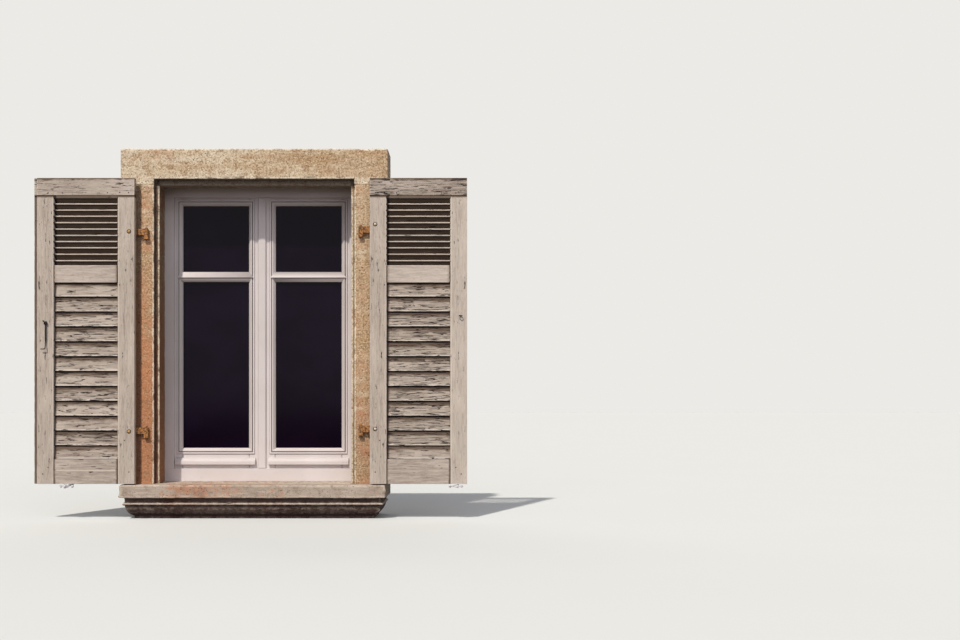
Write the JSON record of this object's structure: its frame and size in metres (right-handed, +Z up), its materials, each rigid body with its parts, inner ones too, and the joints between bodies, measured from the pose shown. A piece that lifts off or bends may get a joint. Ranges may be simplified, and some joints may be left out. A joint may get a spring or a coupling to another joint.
{
  "type": "window shutters",
  "caption": "Pair of hinged wooden window shutters with louvred tops and lapped boards, swung open on iron pintles beside a stone-framed casement window, with turning catches to hold them.",
  "frame": {"origin": "middle of the sill's bed, straight below the front face of the stone", "axes": "+X to the right seen from outside, +Y into the house, +Z up"},
  "size_m": [2.258, 0.4345, 1.941],
  "materials": {
    "shutter_wood": "weathered flat paint",
    "window_wood": "white satin paint",
    "window_glass": "polished",
    "sandstone": "dressed, weathered",
    "sill_stone": "dressed, stained",
    "rusty_iron": "rusty",
    "black_iron": "dark, matt",
    "galvanised_steel": "galvanised",
    "window_metal": "white satin paint",
    "handle_metal": "satin"
  },
  "bodies": {
    "surround": {"sill": "sill_stone", "lintel": "sandstone", "jamb_left": "sandstone", "jamb_right": "sandstone", "frame_head": "window_wood", "frame_bottom_rail": "window_wood", "frame_post_left": "window_wood", "frame_post_right": "window_wood", "frame_hinges": "window_metal", "pintles_left": "rusty_iron", "pintles_right": "rusty_iron", "catch_spikes": "galvanised_steel"},
    "leaf_left": {"left_hinge_stile": "shutter_wood", "left_meeting_stile": "shutter_wood", "left_top_rail": "shutter_wood", "left_middle_rail": "shutter_wood", "left_bottom_rail": "shutter_wood", "left_louvre_slats": "shutter_wood", "left_boards": "shutter_wood", "left_hinge_upper": "rusty_iron", "left_hinge_lower": "rusty_iron", "left_bolts": "rusty_iron", "left_hook_staple": "black_iron"},
    "hook": {"left_hook": "black_iron"},
    "leaf_right": {"right_hinge_stile": "shutter_wood", "right_meeting_stile": "shutter_wood", "right_top_rail": "shutter_wood", "right_middle_rail": "shutter_wood", "right_bottom_rail": "shutter_wood", "right_louvre_slats": "shutter_wood", "right_boards": "shutter_wood", "right_hinge_upper": "rusty_iron", "right_hinge_lower": "rusty_iron", "right_bolts": "rusty_iron", "right_screw_eye": "black_iron"},
    "catch_left": {"left_catch": "galvanised_steel"},
    "catch_right": {"right_catch": "galvanised_steel"},
    "sash_left": {"left_sash_hinge_stile": "window_wood", "left_sash_meeting_stile": "window_wood", "left_sash_top_rail": "window_wood", "left_sash_bottom_rail": "window_wood", "left_sash_glazing_bar": "window_wood", "left_sash_weather_bar": "window_wood", "left_sash_glass_lower": "window_glass", "left_sash_glass_upper": "window_glass", "left_sash_hinges": "window_metal", "astragal": "window_wood"},
    "sash_right": {"right_sash_hinge_stile": "window_wood", "right_sash_meeting_stile": "window_wood", "right_sash_top_rail": "window_wood", "right_sash_bottom_rail": "window_wood", "right_sash_glazing_bar": "window_wood", "right_sash_weather_bar": "window_wood", "right_sash_glass_lower": "window_glass", "right_sash_glass_upper": "window_glass", "right_sash_hinges": "window_metal", "cover_strip": "window_wood", "handle_plate": "handle_metal"},
    "handle": {"handle_lever": "handle_metal"}
  },
  "joints": [
    {"name": "leaf_left_swing", "type": "hinge", "parent": "surround", "child": "leaf_left", "pos_m": [-0.562, -0.013, 0.98], "axis": [0, 0, 1], "range_deg": [0, 180]},
    {"name": "leaf_right_swing", "type": "hinge", "parent": "surround", "child": "leaf_right", "pos_m": [0.562, -0.013, 0.98], "axis": [0, 0, -1], "range_deg": [0, 180]},
    {"name": "hook_swing", "type": "hinge", "parent": "leaf_left", "child": "hook", "pos_m": [-1.0715, -0.072, 1.021], "axis": [0, 1, 0], "range_deg": [-90, 90]},
    {"name": "catch_left_turn", "type": "hinge", "parent": "surround", "child": "catch_left", "pos_m": [-0.9715, -0.067, 0.172], "axis": [0, 1, 0], "range_deg": [0, 180]},
    {"name": "catch_right_turn", "type": "hinge", "parent": "surround", "child": "catch_right", "pos_m": [1.0685, -0.067, 0.172], "axis": [0, -1, 0], "range_deg": [0, 180]},
    {"name": "sash_right_swing", "type": "hinge", "parent": "surround", "child": "sash_right", "pos_m": [0.497, 0.3085, 0.98], "axis": [0, 0, -1], "range_deg": [0, 95]},
    {"name": "sash_left_swing", "type": "hinge", "parent": "surround", "child": "sash_left", "pos_m": [-0.497, 0.3085, 0.98], "axis": [0, 0, 1], "range_deg": [0, 76]},
    {"name": "handle_turn", "type": "hinge", "parent": "sash_right", "child": "handle", "pos_m": [0.048, 0.32, 0.94], "axis": [0, -1, 0], "range_deg": [0, 90]}
  ],
  "couplings": [
    {"joint": "sash_left_swing", "follows": "sash_right_swing", "ratio": 0.8}
  ]
}
